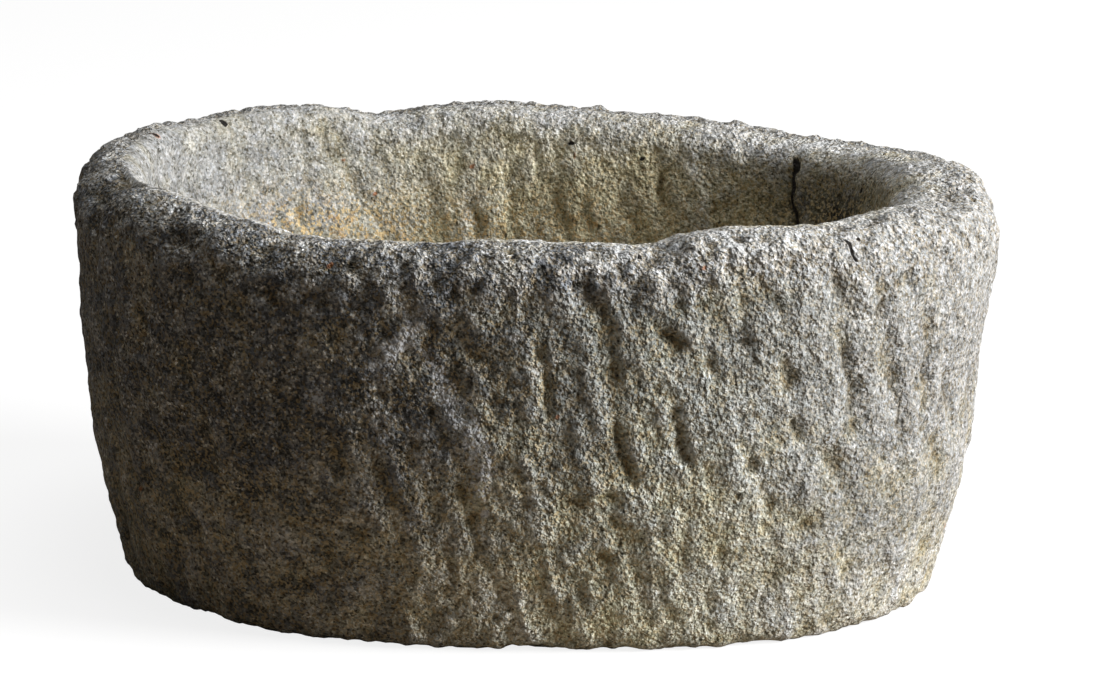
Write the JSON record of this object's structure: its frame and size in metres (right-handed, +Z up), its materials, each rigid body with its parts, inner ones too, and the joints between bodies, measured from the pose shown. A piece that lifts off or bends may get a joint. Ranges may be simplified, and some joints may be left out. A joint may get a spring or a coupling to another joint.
{
  "type": "stone trough",
  "caption": "Free-standing oval trough hewn from one block of granite, with a deep open basin, a thick worn rim and a flat bed.",
  "frame": {"origin": "on the ground at the middle of the trough's box in plan", "axes": "+X along the length towards the thicker end wall, +Y towards the back, +Z up"},
  "size_m": [0.854, 0.6117, 0.3917],
  "materials": {
    "hewn_granite": "rough point-chiselled granite, weathered, with grey lichen, dark crust and rust staining"
  },
  "bodies": {
    "root": {"stone_trough": "hewn_granite"}
  },
  "joints": []
}
